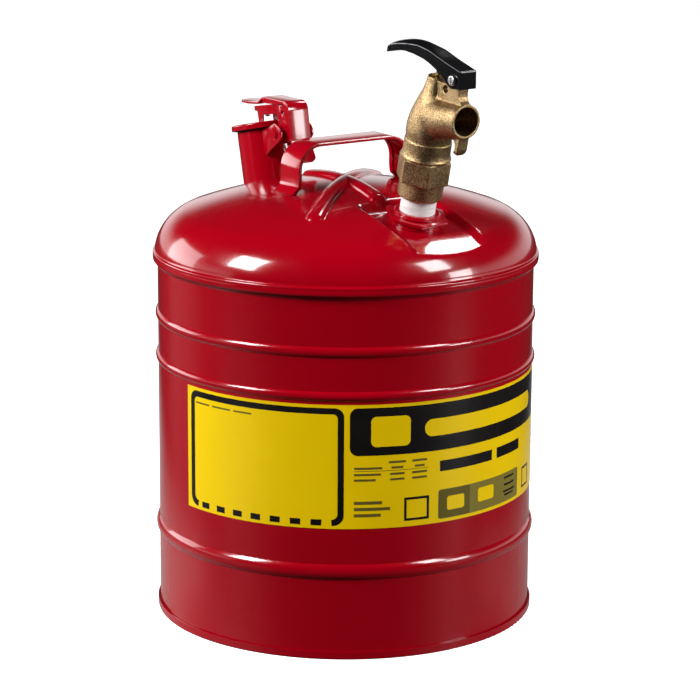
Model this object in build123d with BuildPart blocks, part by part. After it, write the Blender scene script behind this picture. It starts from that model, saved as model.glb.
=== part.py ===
from build123d import *
from math import atan2, cos, hypot, pi, radians, sin, sqrt
import os

# Dispensing safety can, 5 US gallon class.  Millimetres.
# Origin: centre of the ring the can stands on.  +Z up, the faucet leans
# towards -Y, the filler neck towards +Y, and the carry handle runs along X.

os.makedirs("parts", exist_ok=True)

# ---- driving dimensions -------------------------------------------------
SHEET = 0.9                 # steel sheet of the drum
BODY_R = 145.5              # outside of the drum wall
CHIME_R = 147.3             # outside of the bottom seam
CHIME_H = 6.2
PAN_Z = 11.0                # underside of the recessed bottom panel
BEADS = [(68.0, 6.0, 2.4), (202.4, 3.6, 1.9), (235.6, 4.0, 1.9)]   # z, half height, rise
FLARE_Z = (274.5, 277.6)    # the drum wall widens here into the top seam
WALL_TOP = 283.0
SEAM_R = 149.2              # outside of the top seam
SEAM_Z = (277.6, 284.4)

DOME_APEX = 337.3           # torispherical dome
CROWN_R = 366.0
KNUCKLE_R = 37.0
DOME_R = 147.9
RIDGE_H = 4.0               # height of the stiffening cross pressed into the crown
RIDGE_W = 13.0
RIDGES = [(-139.0, 102.0), (41.0, 100.0), (-101.0, 66.0), (81.0, 70.0)]  # azimuth, reach

LABEL_Z = (101.7, 196.3)
LABEL_T = 0.2
LABEL_TURN = 0.8            # the label starts this many degrees past the X axis

TILT_F = radians(13.0)      # lean of the faucet
FAUCET_U = 93.0             # boss mouth: distance from the can's axis, and height
FAUCET_Z = 328.7
BOSS_H = 10.0               # boss mouth above the flat pad
PAD_W = 33.7                # half width of the flat pad
PAD_U = (66.0, 121.0)       # the pad's inner and outer edge

TILT_N = radians(13.3)      # lean of the filler neck
NECK_U = 102.0
NECK_Z = 321.0
NECK_R = 23.3
NECK_T = 1.2
NECK_TOP = 42.3             # rim, along the neck's axis
CAP_R = 27.4
CAP_TOP = 47.5
CAP_SKIRT = 4.6
CAP_T = 1.2

PIVOT_U = 75.7              # hinge pin of the cap arm
PIVOT_Z = 364.5
PIN_R = 3.0
EAR_X = (14.0, 15.4)        # hinge ears, inner and outer face
ARM_X = 9.2                 # half width of the cap lever
ARM_T = 1.6

HANDLE_X = 52.0
HANDLE_TOP = 370.8
HANDLE_W = 25.0
HANDLE_T = 1.3

NIPPLE_R = 13.0
TAPE_R = 13.35
MOUTH = (40.3, 85.1)        # centre of the spout's mouth in the faucet's side plane
SPOUT_RISE = radians(9.9)   # the spout rises this much from square to the faucet's axis
SPOUT_R = 12.7
SPOUT_BORE = 10.5
SPOUT_DEPTH = 29.0          # the bore steps down here to the port of the valve chamber
PORT_R = 7.0
SEAT_S = 62.0
STEM_R = 2.5
TIP_R = 2.0                 # the stem above its packing
RUNNING = 0.05              # radial clearance of a running fit
LUG_P, LUG_S = 26.9, 112.9  # lever pivot in the faucet's side plane
LUG_X = 4.4
LEVER_X = 7.3
SCREW_R = 2.5

# ---- frames -------------------------------------------------------------
FAUCET_O = Vector(0, -FAUCET_U, FAUCET_Z)
FAUCET_DIR = Vector(0, -sin(TILT_F), cos(TILT_F))
FAUCET_OUT = Vector(0, -cos(TILT_F), -sin(TILT_F))
FAUCET = Plane(origin=FAUCET_O, x_dir=(1, 0, 0), z_dir=FAUCET_DIR)
FAUCET_SIDE = Plane(origin=FAUCET_O, x_dir=FAUCET_OUT, z_dir=(-1, 0, 0))
FAUCET_AXIS = Axis(FAUCET_O, FAUCET_DIR)
SPOUT_DIR = FAUCET_OUT * cos(SPOUT_RISE) + FAUCET_DIR * sin(SPOUT_RISE)
MOUTH_O = FAUCET_O + FAUCET_OUT * MOUTH[0] + FAUCET_DIR * MOUTH[1]

NECK_O = Vector(0, NECK_U, NECK_Z)
NECK_DIR = Vector(0, sin(TILT_N), cos(TILT_N))
NECK_OUT = Vector(0, cos(TILT_N), -sin(TILT_N))
NECK = Plane(origin=NECK_O, x_dir=(1, 0, 0), z_dir=NECK_DIR)
NECK_SIDE = Plane(origin=NECK_O, x_dir=NECK_OUT, z_dir=(1, 0, 0))
NECK_AXIS = Axis(NECK_O, NECK_DIR)

PIVOT = Plane(origin=(0, PIVOT_U, PIVOT_Z), x_dir=(0, 0, -1), z_dir=(1, 0, 0))


def offset_path(points, distance):
    """Open polyline moved to its left by a distance, with mitred corners."""
    moved = []
    last = len(points) - 1
    for i, (x, y) in enumerate(points):
        before = points[max(i - 1, 0)]
        here = points[i]
        after = points[min(i + 1, last)]
        ways = []
        for a, b in ((before, here), (here, after)):
            length = hypot(b[0] - a[0], b[1] - a[1])
            if length > 0:
                ways.append((-(b[1] - a[1]) / length, (b[0] - a[0]) / length))
        nx = sum(n[0] for n in ways) / len(ways)
        ny = sum(n[1] for n in ways) / len(ways)
        scale = distance / (nx * nx + ny * ny)
        moved.append((x + nx * scale, y + ny * scale))
    return moved


def bent_strip(points, bends, thickness):
    """Face of a bent sheet seen edge-on: a centre line and a bend radius at each corner."""
    half = thickness / 2
    turns = []
    for a, b, c in zip(points, points[1:], points[2:]):
        cross = (b[0] - a[0]) * (c[1] - b[1]) - (b[1] - a[1]) * (c[0] - b[0])
        turns.append(1 if cross > 0 else -1)
    left = [r - half * t for r, t in zip(bends, turns)]
    right = [r + half * t for r, t in zip(bends, turns)]
    with BuildSketch() as strip:
        with BuildLine():
            one = FilletPolyline(*offset_path(points, half), radius=left)
            two = FilletPolyline(*offset_path(points, -half), radius=right)
            Line(one @ 0, two @ 0)
            Line(one @ 1, two @ 1)
        make_face()
    return strip.sketch


def wall_line(radius, z_from, z_to):
    """Drum wall edge from one height to another with its raised beads."""
    up = z_to > z_from
    beads = sorted(BEADS, reverse=not up)
    z = z_from
    for centre, half, rise in beads:
        near, far = (centre - half, centre + half) if up else (centre + half, centre - half)
        Line((radius, z), (radius, near))
        ThreePointArc((radius, near), (radius + rise, centre), (radius, far))
        z = far
    Line((radius, z), (radius, z_to))


def dome_line(shrink, z_end):
    """Crown and knuckle arcs of the dome, moved inwards by a thickness."""
    crown = CROWN_R - shrink
    knuckle = KNUCKLE_R - shrink
    crown_z = DOME_APEX - CROWN_R
    reach = DOME_R - KNUCKLE_R
    knuckle_z = crown_z + sqrt((CROWN_R - KNUCKLE_R) ** 2 - reach**2)
    split = atan2(reach, knuckle_z - crown_z)
    end = atan2(z_end - knuckle_z, sqrt(knuckle**2 - (z_end - knuckle_z) ** 2))
    on_crown = [(crown * sin(a), crown_z + crown * cos(a)) for a in (0, split / 2, split)]
    middle = (pi / 2 - split + end) / 2
    on_knuckle = [
        (reach + knuckle * cos(a), knuckle_z + knuckle * sin(a))
        for a in (pi / 2 - split, middle, end)
    ]
    ThreePointArc(*on_crown)
    ThreePointArc(*on_knuckle)
    return on_knuckle[-1]


# ---- drum ---------------------------------------------------------------
with BuildPart() as body_shell:
    with BuildSketch(Plane.XZ):
        with BuildLine():
            wall_line(BODY_R, CHIME_H - 0.7, FLARE_Z[0])
            Polyline(
                (BODY_R, FLARE_Z[0]),
                (DOME_R - SHEET, FLARE_Z[1]),
                (DOME_R - SHEET, WALL_TOP),
                (DOME_R - 2 * SHEET, WALL_TOP),
                (DOME_R - 2 * SHEET, FLARE_Z[1]),
                (BODY_R - SHEET, FLARE_Z[0]),
            )
            wall_line(BODY_R - SHEET, FLARE_Z[0], SHEET)
            # the folded foot that the bottom seam grips
            Polyline(
                (BODY_R - SHEET, SHEET),
                (BODY_R + SHEET, SHEET),
                (BODY_R + SHEET, CHIME_H - 0.7),
                (BODY_R, CHIME_H - 0.7),
            )
        make_face()
    revolve(axis=Axis.Z)

with BuildPart() as bottom_pan:
    with BuildSketch(Plane.XZ):
        with BuildLine():
            FilletPolyline(
                (0, PAN_Z),
                (BODY_R - 2 * SHEET, PAN_Z),
                (BODY_R - 2 * SHEET, 0),
                (CHIME_R, 0),
                (CHIME_R, CHIME_H),
                radius=[3.0, 0.8, 1.2],
            )
            Polyline(
                (CHIME_R, CHIME_H),
                (CHIME_R - SHEET, CHIME_H),
                (CHIME_R - SHEET, SHEET),
                (BODY_R - SHEET, SHEET),
                (BODY_R - SHEET, PAN_Z + SHEET),
                (0, PAN_Z + SHEET),
                (0, PAN_Z),
            )
        make_face()
    revolve(axis=Axis.Z)


# ---- dome ---------------------------------------------------------------
def pad_height(u):
    """Height of the flat faucet pad at a distance from the can's axis."""
    foot = FAUCET_O - FAUCET_DIR * BOSS_H
    return foot.Z + (u + foot.Y) * -sin(TILT_F) / cos(TILT_F)


def pad_cutter(drop):
    """Everything above the pad and its front slope, lowered by a thickness."""
    inner, outer = PAD_U
    slope_end = (146.0, 300.6)
    with BuildPart() as cutter:
        with BuildSketch(Plane.YZ):
            with BuildLine():
                Polyline(
                    (-(inner - 14), 345),
                    (-(inner - 14), 334.6 - drop),
                    (-inner - 4, pad_height(inner + 4) - drop),
                    (-outer, pad_height(outer) - drop),
                    (-slope_end[0], slope_end[1] - drop),
                    (-slope_end[0] - 10, slope_end[1] - drop),
                    (-slope_end[0] - 10, 345),
                    close=True,
                )
            make_face()
        extrude(amount=PAD_W + drop, both=True)
    return cutter.part


def ridge_solid(shrink):
    """Stiffening ribs under a sphere just above the crown."""
    with BuildPart() as ridges:
        for azimuth, reach in RIDGES:
            with BuildSketch(Plane.XY.offset(300).rotated((0, 0, azimuth))):
                with Locations((reach / 2 - RIDGE_W / 4, 0)):
                    SlotOverall(reach + RIDGE_W / 2 - 2 * shrink, RIDGE_W - 2 * shrink)
            extrude(amount=60)
        with Locations((0, 0, DOME_APEX - CROWN_R)):
            Sphere(CROWN_R + RIDGE_H - shrink, mode=Mode.INTERSECT)
    return ridges.part


def dome_solid(shrink):
    """Filled dome with its pressed cross and pad, smaller by a thickness."""
    ridges = ridge_solid(shrink)
    cutter = pad_cutter(shrink)
    with BuildPart() as form:
        with BuildSketch(Plane.XZ):
            with BuildLine():
                edge = dome_line(shrink, 285.0)
                Polyline(edge, (edge[0], 270), (0, 270), (0, DOME_APEX - shrink))
            make_face()
        revolve(axis=Axis.Z)
        add(ridges)
        add(cutter, mode=Mode.SUBTRACT)
    return form.part


dome_outer = dome_solid(0)
dome_inner = dome_solid(SHEET)

with BuildPart() as top_dome:
    add(dome_outer)
    add(dome_inner, mode=Mode.SUBTRACT)
    # skirt below the knuckle is replaced by the rolled seam
    with BuildSketch(Plane.XY.offset(260)):
        Circle(160)
    extrude(amount=26.0, mode=Mode.SUBTRACT)
    with BuildSketch(Plane.XZ):
        with BuildLine():
            Polyline(
                (DOME_R - SHEET, 286.0),
                (DOME_R - SHEET, SEAM_Z[0]),
                (SEAM_R - 0.6, SEAM_Z[0]),
            )
            ThreePointArc(
                (SEAM_R - 0.6, SEAM_Z[0]),
                (SEAM_R, (SEAM_Z[0] + SEAM_Z[1]) / 2),
                (SEAM_R - 0.6, SEAM_Z[1]),
            )
            Polyline((SEAM_R - 0.6, SEAM_Z[1]), (147.5, 286.0), (DOME_R - SHEET, 286.0))
        make_face()
    revolve(axis=Axis.Z)
    with BuildSketch(FAUCET.offset(-BOSS_H - 12)):
        Circle(15.0)
    extrude(amount=20, mode=Mode.SUBTRACT)
    with BuildSketch(NECK.offset(-30)):
        Circle(NECK_R)
    extrude(amount=60, mode=Mode.SUBTRACT)

with BuildPart() as side_label:
    with BuildSketch(Plane.XZ):
        with Locations((-BODY_R - LABEL_T / 2, (LABEL_Z[0] + LABEL_Z[1]) / 2)):
            Rectangle(LABEL_T, LABEL_Z[1] - LABEL_Z[0])
    revolve(axis=Axis.Z, revolution_arc=180)
side_label.part = side_label.part.rotate(Axis.Z, LABEL_TURN)

# ---- carry handle -------------------------------------------------------
handle_path = [
    (-HANDLE_X - 6.4, 333.4),
    (-HANDLE_X - 0.6, 338.6),
    (-HANDLE_X, 345),
    (-HANDLE_X, HANDLE_TOP),
    (HANDLE_X, HANDLE_TOP),
    (HANDLE_X, 345),
    (HANDLE_X + 0.6, 338.6),
    (HANDLE_X + 6.4, 333.4),
]
handle_bends = [6.0, 20.0, 20.0, 20.0, 20.0, 6.0]
handle_sheet = offset_path(handle_path, -HANDLE_T / 2)
handle_hem = offset_path(handle_path, -HANDLE_T * 1.5)
HEM_W = 4.5

with BuildPart() as carry_handle:
    with BuildSketch(Plane.XZ):
        add(bent_strip(handle_sheet, [r - HANDLE_T / 2 for r in handle_bends], HANDLE_T))
    extrude(amount=HANDLE_W / 2, both=True)
    # the strap's long edges are folded under
    for side in (1, -1):
        with BuildSketch(Plane.XZ.offset(-side * (HANDLE_W - HEM_W) / 2)):
            add(bent_strip(handle_hem, [r - HANDLE_T * 1.5 for r in handle_bends], HANDLE_T))
        extrude(amount=HEM_W / 2, both=True)
    add(dome_outer, mode=Mode.SUBTRACT)

# ---- filler neck --------------------------------------------------------
with BuildPart() as filler_neck:
    with BuildSketch(NECK_SIDE):
        with BuildLine():
            Polyline(
                (NECK_R - NECK_T, -6),
                (NECK_R, -6),
                (NECK_R, NECK_TOP - 1.2),
                (NECK_R - 0.4, NECK_TOP),
                (NECK_R - NECK_T + 0.2, NECK_TOP),
                (NECK_R - NECK_T, NECK_TOP - 0.8),
                close=True,
            )
        make_face()
    revolve(axis=NECK_AXIS)

ARRESTER_R = NECK_R - NECK_T - 0.1
ARRESTER_T = 0.6
ARRESTER_S = (-62.0, 34.0)
with BuildPart() as neck_flame_arrester:
    with BuildSketch(NECK_SIDE):
        with BuildLine():
            Polyline(
                (0, ARRESTER_S[0]),
                (ARRESTER_R - 2, ARRESTER_S[0]),
                (ARRESTER_R - 2, ARRESTER_S[1] - 4),
                (ARRESTER_R, ARRESTER_S[1] - 2),
                (ARRESTER_R, ARRESTER_S[1]),
                (ARRESTER_R - ARRESTER_T, ARRESTER_S[1]),
                (ARRESTER_R - ARRESTER_T, ARRESTER_S[1] - 1.8),
                (ARRESTER_R - 2 - ARRESTER_T, ARRESTER_S[1] - 3.8),
                (ARRESTER_R - 2 - ARRESTER_T, ARRESTER_S[0] + ARRESTER_T),
                (0, ARRESTER_S[0] + ARRESTER_T),
                close=True,
            )
        make_face()
    revolve(axis=NECK_AXIS)
    # rows of flame-quenching perforations
    for row in range(5):
        for k in range(4):
            turn = k * 45 + (row % 2) * 22.5
            spoke = NECK.offset(-50 + row * 16).rotated((0, 0, turn))
            with BuildSketch(Plane(origin=spoke.origin, z_dir=spoke.x_dir, x_dir=spoke.z_dir)):
                Circle(2.4)
            extrude(amount=30, both=True, mode=Mode.SUBTRACT)

# ---- cap, lever and hinge ----------------------------------------------
CAP_O = NECK_O + NECK_DIR * CAP_TOP
CAP = Plane(origin=CAP_O, x_dir=(1, 0, 0), z_dir=NECK_DIR)
CAP_SIDE = Plane(origin=CAP_O, x_dir=NECK_OUT, z_dir=(1, 0, 0))
STUD_R = 2.0
STUD_P = -5.0               # guide stud under the yoke, from the neck's axis

with BuildPart() as cap_disc:
    with BuildSketch(CAP_SIDE):
        with BuildLine():
            FilletPolyline(
                (0, 0),
                (CAP_R, 0),
                (CAP_R, -CAP_SKIRT),
                radius=[1.3],
            )
            Polyline((CAP_R, -CAP_SKIRT), (CAP_R - CAP_T, -CAP_SKIRT), (CAP_R - CAP_T, -CAP_T - 0.3))
            Polyline(
                (CAP_R - CAP_T, -CAP_T - 0.3),
                (CAP_R - CAP_T - 0.3, -CAP_T),
                (0, -CAP_T),
                (0, 0),
            )
        make_face()
    revolve(axis=NECK_AXIS)

GASKET_GAP = 0.1
with BuildPart() as cap_gasket:
    with BuildSketch(CAP.offset(-CAP_TOP + NECK_TOP + GASKET_GAP)):
        Circle(25.0)
        Circle(18.0, mode=Mode.SUBTRACT)
    extrude(amount=CAP_TOP - CAP_T - NECK_TOP - GASKET_GAP)
    chamfer(cap_gasket.edges().filter_by(GeomType.CIRCLE), 0.3)

YOKE_X = 7.55               # the yoke fits between the lever's flanges
YOKE_T = 1.2
yoke_side = [
    (-34.0, 12.1),
    (1.6, 13.8),
    (1.6, 10.0),
    (-1.9, 9.4),
    (-2.3, 0),
    (-8.3, 0),
    (-9.5, 5.6),
    (-34.0, 4.2),
]

with BuildPart() as cap_yoke:
    with BuildSketch(CAP_SIDE):
        with BuildLine():
            Polyline(*yoke_side, close=True)
        make_face()
    extrude(amount=YOKE_X, both=True)
    with BuildSketch(CAP_SIDE):
        with BuildLine():
            Polyline(
                (-36.0, 12.0 - YOKE_T),
                (3.6, 13.9 - YOKE_T),
                (3.6, -2),
                (-36.0, -2),
                close=True,
            )
        make_face()
    extrude(amount=YOKE_X - YOKE_T, both=True, mode=Mode.SUBTRACT)
    with BuildSketch(CAP):
        with Locations((0, STUD_P)):
            Circle(STUD_R)
    extrude(amount=30, mode=Mode.SUBTRACT)

with BuildPart() as yoke_stud:
    with BuildSketch(CAP.offset(4.3)):
        with Locations((0, STUD_P)):
            Circle(STUD_R)
    extrude(amount=8.9)
    fillet(yoke_stud.edges().group_by(Axis.Z)[0], 0.8)
    with BuildSketch(CAP.offset(10.8)):
        with Locations((0, STUD_P)):
            Circle(3.4)
    extrude(amount=1.0)

# thumb tab, hump, top plate, back plate and curled finger lip, as (distance, height)
arm_path = [
    (139.2, 382.3),
    (124.0, 382.3),
    (110.0, 383.7),
    (104.0, 389.0),
    (67.3, 389.0),
    (62.7, 360.0),
    (59.7, 352.6),
    (53.3, 343.4),
]
arm_bends = [40.0, 4.0, 4.0, 7.5, 25.0, 40.0]

with BuildPart() as cap_lever:
    with BuildSketch(Plane.YZ):
        add(bent_strip(arm_path, arm_bends, ARM_T))
    extrude(amount=ARM_X, both=True)
    fillet(cap_lever.edges().group_by(Axis.Y)[-1].filter_by(Axis.Z), 8.0)
    lip_corners = cap_lever.edges().filter_by(lambda edge: abs(edge.length - ARM_T) < 0.01)
    fillet(lip_corners.sort_by(Axis.Z)[:2], 5.0)
    # flanges that carry the pin
    with BuildSketch(Plane.YZ):
        with BuildLine():
            Polyline(
                (74.5, 389.0),
                (85.2, 389.0),
                (82.2, 378.0),
                (79.8, 369.0),
                (79.2, 361.0),
                (76.5, 358.0),
                (70.0, 357.0),
                (63.0, 359.8),
                (65.6, 378.0),
                (66.4, 382.7),
                (68.5, 386.8),
                (71.0, 388.4),
                close=True,
            )
        make_face()
    extrude(amount=ARM_X, both=True)
    # short flanges along the hump
    with BuildSketch(Plane.YZ):
        with BuildLine():
            Polyline((84.0, 389.0), (103.6, 389.0), (103.6, 384.6), (84.0, 386.0), close=True)
        make_face()
    extrude(amount=ARM_X, both=True)
    with BuildSketch(Plane.YZ):
        with BuildLine():
            Polyline(
                (74.0, 388.2),
                (71.2, 387.7),
                (69.0, 386.2),
                (67.1, 382.5),
                (66.4, 378.0),
                (63.7, 360.4),
                (61.4, 353.6),
                (90.0, 353.6),
                (90.0, 383.0),
                (104.6, 383.0),
                (104.6, 387.4),
                (103.7, 388.2),
                close=True,
            )
        make_face()
    extrude(amount=ARM_X - ARM_T, both=True, mode=Mode.SUBTRACT)
    with BuildSketch(PIVOT):
        Circle(PIN_R + RUNNING)
    extrude(amount=ARM_X + 1, both=True, mode=Mode.SUBTRACT)
    # small holes and a slit in each flange
    with BuildSketch(Plane.YZ):
        with Locations((74.6, 380.8)):
            Circle(1.6)
        with Locations((100.8, 386.1)):
            Circle(0.8)
        with Locations((77.4, 386.7)):
            SlotOverall(4.4, 1.3)
    extrude(amount=ARM_X + 1, both=True, mode=Mode.SUBTRACT)

ear_outline = [
    (98.5, 361.5),
    (76.4, 372.4),
    (70.6, 370.0),
    (67.4, 366.2),
    (67.0, 362.6),
    (69.6, 359.4),
    (83.0, 350.0),
    (87.6, 345.8),
    (91.0, 346.0),
    (98.5, 349.5),
]
WEB_R = NECK_R + 1.5
with BuildPart() as hinge_bracket:
    with BuildSketch(Plane.YZ.offset(EAR_X[0])):
        with BuildLine():
            Polyline(*ear_outline, close=True)
        make_face()
    extrude(amount=EAR_X[1] - EAR_X[0])
    fillet(hinge_bracket.edges().filter_by(Axis.X).sort_by(Axis.Y)[:5], 1.6)
    mirror(about=Plane.YZ)
    # web wrapped round the inner side of the neck
    with BuildSketch(NECK.offset(22)):
        Circle(WEB_R)
        with Locations((0, WEB_R)):
            Rectangle(80, 2 * (WEB_R + sqrt(WEB_R**2 - EAR_X[1] ** 2)), mode=Mode.SUBTRACT)
    extrude(amount=18)
    with BuildSketch(NECK.offset(-10)):
        Circle(NECK_R)
    extrude(amount=70, mode=Mode.SUBTRACT)
    with BuildSketch(PIVOT):
        Circle(PIN_R)
    extrude(amount=EAR_X[1] + 1, both=True, mode=Mode.SUBTRACT)

with BuildPart() as hinge_pin:
    with BuildSketch(Plane.XZ.offset(-PIVOT_U)):
        with BuildLine():
            Polyline(
                (-EAR_X[1] - 1.6, PIVOT_Z),
                (-EAR_X[1] - 1.6, PIVOT_Z + 2.8),
                (-EAR_X[1], PIVOT_Z + 4.2),
                (-EAR_X[1], PIVOT_Z + PIN_R),
                (EAR_X[1], PIVOT_Z + PIN_R),
                (EAR_X[1], PIVOT_Z + 4.2),
                (EAR_X[1] + 1.6, PIVOT_Z + 2.8),
                (EAR_X[1] + 1.6, PIVOT_Z),
                close=True,
            )
        make_face()
    revolve(axis=Axis((0, PIVOT_U, PIVOT_Z), (1, 0, 0)))

COIL_R = 4.9
WIRE_R = 0.75
COIL_TURNS = 5.91           # the last turn stops short so its leg slants down to the lip
COIL_PITCH = 1.8
COIL_LEN = COIL_TURNS * COIL_PITCH
with BuildPart() as closing_spring:
    with BuildLine():
        coil = Helix(
            pitch=COIL_PITCH,
            height=COIL_LEN,
            radius=COIL_R,
            center=(COIL_LEN / 2, PIVOT_U, PIVOT_Z),
            direction=(-1, 0, 0),
        )
        leg_in = Line(coil @ 0 - (coil % 0) * 9.4, coil @ 0)
        Line(coil @ 1, coil @ 1 + (coil % 1) * 19.0)
    with BuildSketch(Plane(origin=leg_in @ 0, z_dir=leg_in % 0)):
        Circle(WIRE_R)
    sweep()

# ---- faucet boss --------------------------------------------------------
with BuildPart() as faucet_boss:
    with BuildSketch(FAUCET.offset(-5.6)):
        RegularPolygon(radius=21.5, side_count=6, major_radius=False, rotation=4)
    extrude(amount=2.4)
    # ribbed collar, neck and two upper rings
    with BuildSketch(FAUCET_SIDE):
        with BuildLine():
            Polyline(
                (0, -BOSS_H - 6),
                (15.0, -BOSS_H - 6),
                (15.0, -BOSS_H),
                (19.9, -BOSS_H),
                (19.9, -8.4),
                (19.2, -8.0),
                (19.9, -7.6),
                (19.9, -6.4),
                (19.2, -6.0),
                (19.2, -5.6),
                (17.8, -5.6),
                (17.2, -2.9),
                (17.9, -2.5),
                (17.9, -1.6),
                (16.9, -1.2),
                (16.9, -0.4),
                (16.5, 0),
                (0, 0),
                close=True,
            )
        make_face()
    revolve(axis=FAUCET_AXIS)
    with BuildSketch(FAUCET.offset(-BOSS_H - 8)):
        Circle(TAPE_R)
    extrude(amount=40, mode=Mode.SUBTRACT)

# ---- faucet -------------------------------------------------------------
HEX_S = (24.5, 42.3)
HEX_R = 17.85               # half the hexagon's width across flats
COLLAR_S = 11.5
LEDGE_S = 57.0              # top edge of the plain ring above the hexagon
STEM_TOP = 113.5
CUP_S = 101.0               # open cup round the stem
CUP_R = 5.8
RIM_S = 106.2
GLAND_S = 99.0
PACKING_S = 96.0
GLAND_R = 4.8
INLET_R = 9.6
CHAMBER_R = 8.5
LUG_R = 4.6
HOOK_X = 4.5

# hook under the spout: its side outline, then its round-ended front outline
with BuildPart() as spout_hook:
    with BuildSketch(FAUCET_SIDE):
        with BuildLine():
            FilletPolyline(
                (32.6, 76.0),
                (33.6, 69.5),
                (35.8, 66.0),
                (36.1, 62.6),
                (34.4, 59.8),
                (36.2, 57.9),
                (39.4, 58.8),
                (41.0, 63.0),
                (41.2, 76.0),
                radius=[3.0, 3.0, 2.0, 1.0, 1.2, 2.5, 4.0],
            )
            Line((41.2, 76.0), (32.6, 76.0))
        make_face()
    extrude(amount=HOOK_X, both=True)
    with BuildSketch(Plane(origin=FAUCET_O, x_dir=(1, 0, 0), z_dir=FAUCET_OUT)):
        with Locations((0, 71.0)):
            Rectangle(2 * HOOK_X, 17.0)
        with Locations((0, 62.5)):
            Circle(HOOK_X)
    extrude(amount=60, mode=Mode.INTERSECT)

with BuildPart() as faucet_body:
    with BuildSketch(FAUCET_SIDE):
        with BuildLine():
            Polyline(
                (0, -14),
                (NIPPLE_R - 1, -14),
                (NIPPLE_R, -13),
                (NIPPLE_R, COLLAR_S),
                (15.8, COLLAR_S),
                (16.8, COLLAR_S + 1),
                (16.8, HEX_S[0]),
                (17.4, HEX_S[1]),
                (19.3, HEX_S[1] + 1.2),
                (18.2, HEX_S[1] + 3.4),
                (17.8, HEX_S[1] + 6),
                (17.8, LEDGE_S - 0.6),
                (17.2, LEDGE_S),
            )
            Spline(
                (17.2, LEDGE_S),
                (17.4, 63.0),
                (16.8, 70.0),
                (15.5, 77.0),
                (13.3, 83.5),
                (11.0, 90.0),
                (9.3, 96.0),
                (8.2, 101.0),
                (7.5, RIM_S - 0.6),
            )
            Polyline((7.5, RIM_S - 0.6), (7.0, RIM_S), (0, RIM_S), (0, -14))
        make_face()
    revolve(axis=FAUCET_AXIS)
    with BuildSketch(FAUCET.offset(HEX_S[0])):
        RegularPolygon(radius=HEX_R, side_count=6, major_radius=False, rotation=4)
    extrude(amount=HEX_S[1] - HEX_S[0])
    # elbow that narrows to the spout's mouth
    elbow_root = FAUCET_SIDE.from_local_coords((2.0, 75.5, 0))
    with BuildSketch(Plane(origin=elbow_root, z_dir=SPOUT_DIR)):
        Circle(15.2)
    with BuildSketch(Plane(origin=MOUTH_O, z_dir=SPOUT_DIR)):
        Circle(SPOUT_R)
    loft()
    # web and lug that carry the lever
    with BuildSketch(FAUCET_SIDE):
        with BuildLine():
            Polyline(
                (0, 86.0),
                (36.5, 90.0),
                (36.5, 97.3),
                (34.2, 98.6),
                (32.4, 101.5),
                (31.9, 106.5),
                (LUG_P + LUG_R, LUG_S),
                (LUG_P - LUG_R, LUG_S),
                (17.5, 106.6),
                (5.8, 104.6),
                (0, 104.6),
                close=True,
            )
        make_face()
        with Locations((LUG_P, LUG_S)):
            Circle(LUG_R)
    extrude(amount=LUG_X, both=True)
    add(spout_hook.part)
    # waterway, valve seat, stem guide, packing recess and cup
    with BuildSketch(FAUCET_SIDE):
        with BuildLine():
            Polyline(
                (0, -20),
                (INLET_R, -20),
                (INLET_R, SEAT_S),
                (6.0, SEAT_S),
                (6.0, SEAT_S + 3),
                (CHAMBER_R, SEAT_S + 5),
                (CHAMBER_R, 80.0),
                (STEM_R + RUNNING, 87.0),
                (STEM_R + RUNNING, PACKING_S),
                (GLAND_R, PACKING_S),
                (GLAND_R, CUP_S),
                (CUP_R, CUP_S),
                (CUP_R, RIM_S + 4),
                (0, RIM_S + 4),
                close=True,
            )
        make_face()
    revolve(axis=FAUCET_AXIS, mode=Mode.SUBTRACT)
    for start, end, radius in ((-5, SPOUT_DEPTH, SPOUT_BORE), (SPOUT_DEPTH - 1, 41, PORT_R)):
        with BuildSketch(Plane(origin=MOUTH_O - SPOUT_DIR * start, z_dir=-SPOUT_DIR)):
            Circle(radius)
        extrude(amount=end - start, mode=Mode.SUBTRACT)
    with BuildSketch(FAUCET_SIDE):
        with Locations((LUG_P, LUG_S)):
            Circle(SCREW_R)
        with Locations((16.2, 102.0)):
            Circle(2.9)
    extrude(amount=20, both=True, mode=Mode.SUBTRACT)

with BuildPart() as thread_tape:
    with BuildSketch(FAUCET.offset(-9)):
        Circle(TAPE_R)
        Circle(NIPPLE_R, mode=Mode.SUBTRACT)
    extrude(amount=COLLAR_S + 9)

with BuildPart() as faucet_flame_arrester:
    with BuildSketch(FAUCET_SIDE):
        with BuildLine():
            Polyline(
                (0, -12),
                (INLET_R - 1.2, -12),
                (INLET_R - 1.2, 34),
                (INLET_R, 34),
                (INLET_R, 36),
                (INLET_R - 1.7, 36),
                (INLET_R - 1.7, -11.5),
                (0, -11.5),
                close=True,
            )
        make_face()
    revolve(axis=FAUCET_AXIS)
    # slots that let the liquid through
    for row in range(5):
        for k in range(4):
            spoke = FAUCET.offset(-6 + row * 8.5).rotated((0, 0, k * 45 + (row % 2) * 22.5))
            with BuildSketch(Plane(origin=spoke.origin, z_dir=spoke.x_dir, x_dir=spoke.z_dir)):
                SlotOverall(5.5, 2.2)
            extrude(amount=15, both=True, mode=Mode.SUBTRACT)

RETAINER_S = (40.0, 43.0)
with BuildPart() as spring_retainer:
    with BuildSketch(FAUCET.offset(RETAINER_S[0])):
        Circle(INLET_R)
        Circle(3.2, mode=Mode.SUBTRACT)
        with PolarLocations(6.2, 6):
            Circle(1.3, mode=Mode.SUBTRACT)
    extrude(amount=RETAINER_S[1] - RETAINER_S[0])

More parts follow.
